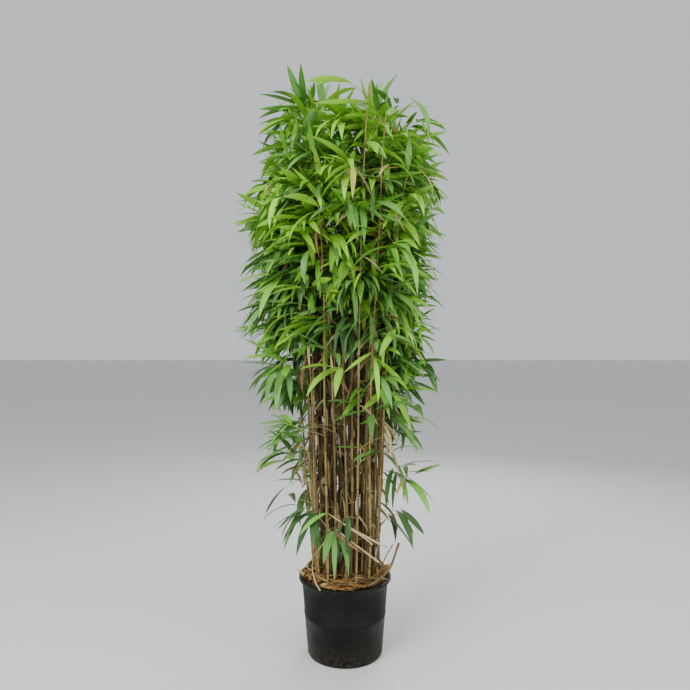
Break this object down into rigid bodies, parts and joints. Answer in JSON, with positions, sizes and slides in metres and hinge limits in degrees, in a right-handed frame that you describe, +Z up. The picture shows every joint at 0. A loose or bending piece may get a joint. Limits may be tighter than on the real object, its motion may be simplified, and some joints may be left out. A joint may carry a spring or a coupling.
{
  "type": "potted bamboo",
  "caption": "Tall clump of broad-leaved bamboo: bare straw-coloured canes rise from a round black nursery pot and carry long drooping leaves on their upper halves.",
  "frame": {"origin": "middle of the pot's flat underside, on the ground", "axes": "+Z up along the stems, +X to the right and +Y away from the camera of the picture"},
  "size_m": [1.1591, 1.2998, 3.0261],
  "materials": {
    "pot": "worn black plastic",
    "compost": "bark compost, dry litter",
    "stem": "dry straw-coloured sheaths",
    "leaf": "leathery green leaf"
  },
  "bodies": {
    "root": {"pot": "pot", "compost": "compost", "stem_01": "stem", "stem_02": "stem", "stem_03": "stem", "stem_04": "stem", "stem_05": "stem", "stem_06": "stem", "stem_07": "stem", "stem_08": "stem", "stem_09": "stem", "stem_10": "stem", "stem_11": "stem", "stem_12": "stem", "stem_13": "stem", "stem_14": "stem", "stem_15": "stem", "stem_16": "stem", "stem_17": "stem", "stem_18": "stem", "stem_19": "stem", "stem_20": "stem", "stem_21": "stem", "stem_22": "stem", "stem_23": "stem", "stem_24": "stem", "stem_25": "stem", "stem_26": "stem", "stem_27": "stem", "stem_28": "stem", "stem_29": "stem", "stem_30": "stem", "stem_31": "stem", "stem_32": "stem", "stem_33": "stem", "stem_34": "stem", "stem_35": "stem", "stem_36": "stem", "stem_37": "stem", "stem_38": "stem", "leaf_mass_01": "leaf", "leaf_mass_02": "leaf", "leaf_mass_03": "leaf", "leaf_mass_04": "leaf", "leaf_mass_05": "leaf", "leaf_mass_06": "leaf", "leaf_mass_07": "leaf", "leaf_mass_08": "leaf", "leaf_mass_09": "leaf", "leaf_mass_10": "leaf", "leaf_mass_11": "leaf", "leaf_mass_12": "leaf", "leaf_mass_13": "leaf", "leaf_mass_14": "leaf", "low_spray_01": "leaf", "low_spray_02": "leaf", "low_spray_03": "leaf", "low_spray_04": "leaf"}
  },
  "joints": []
}
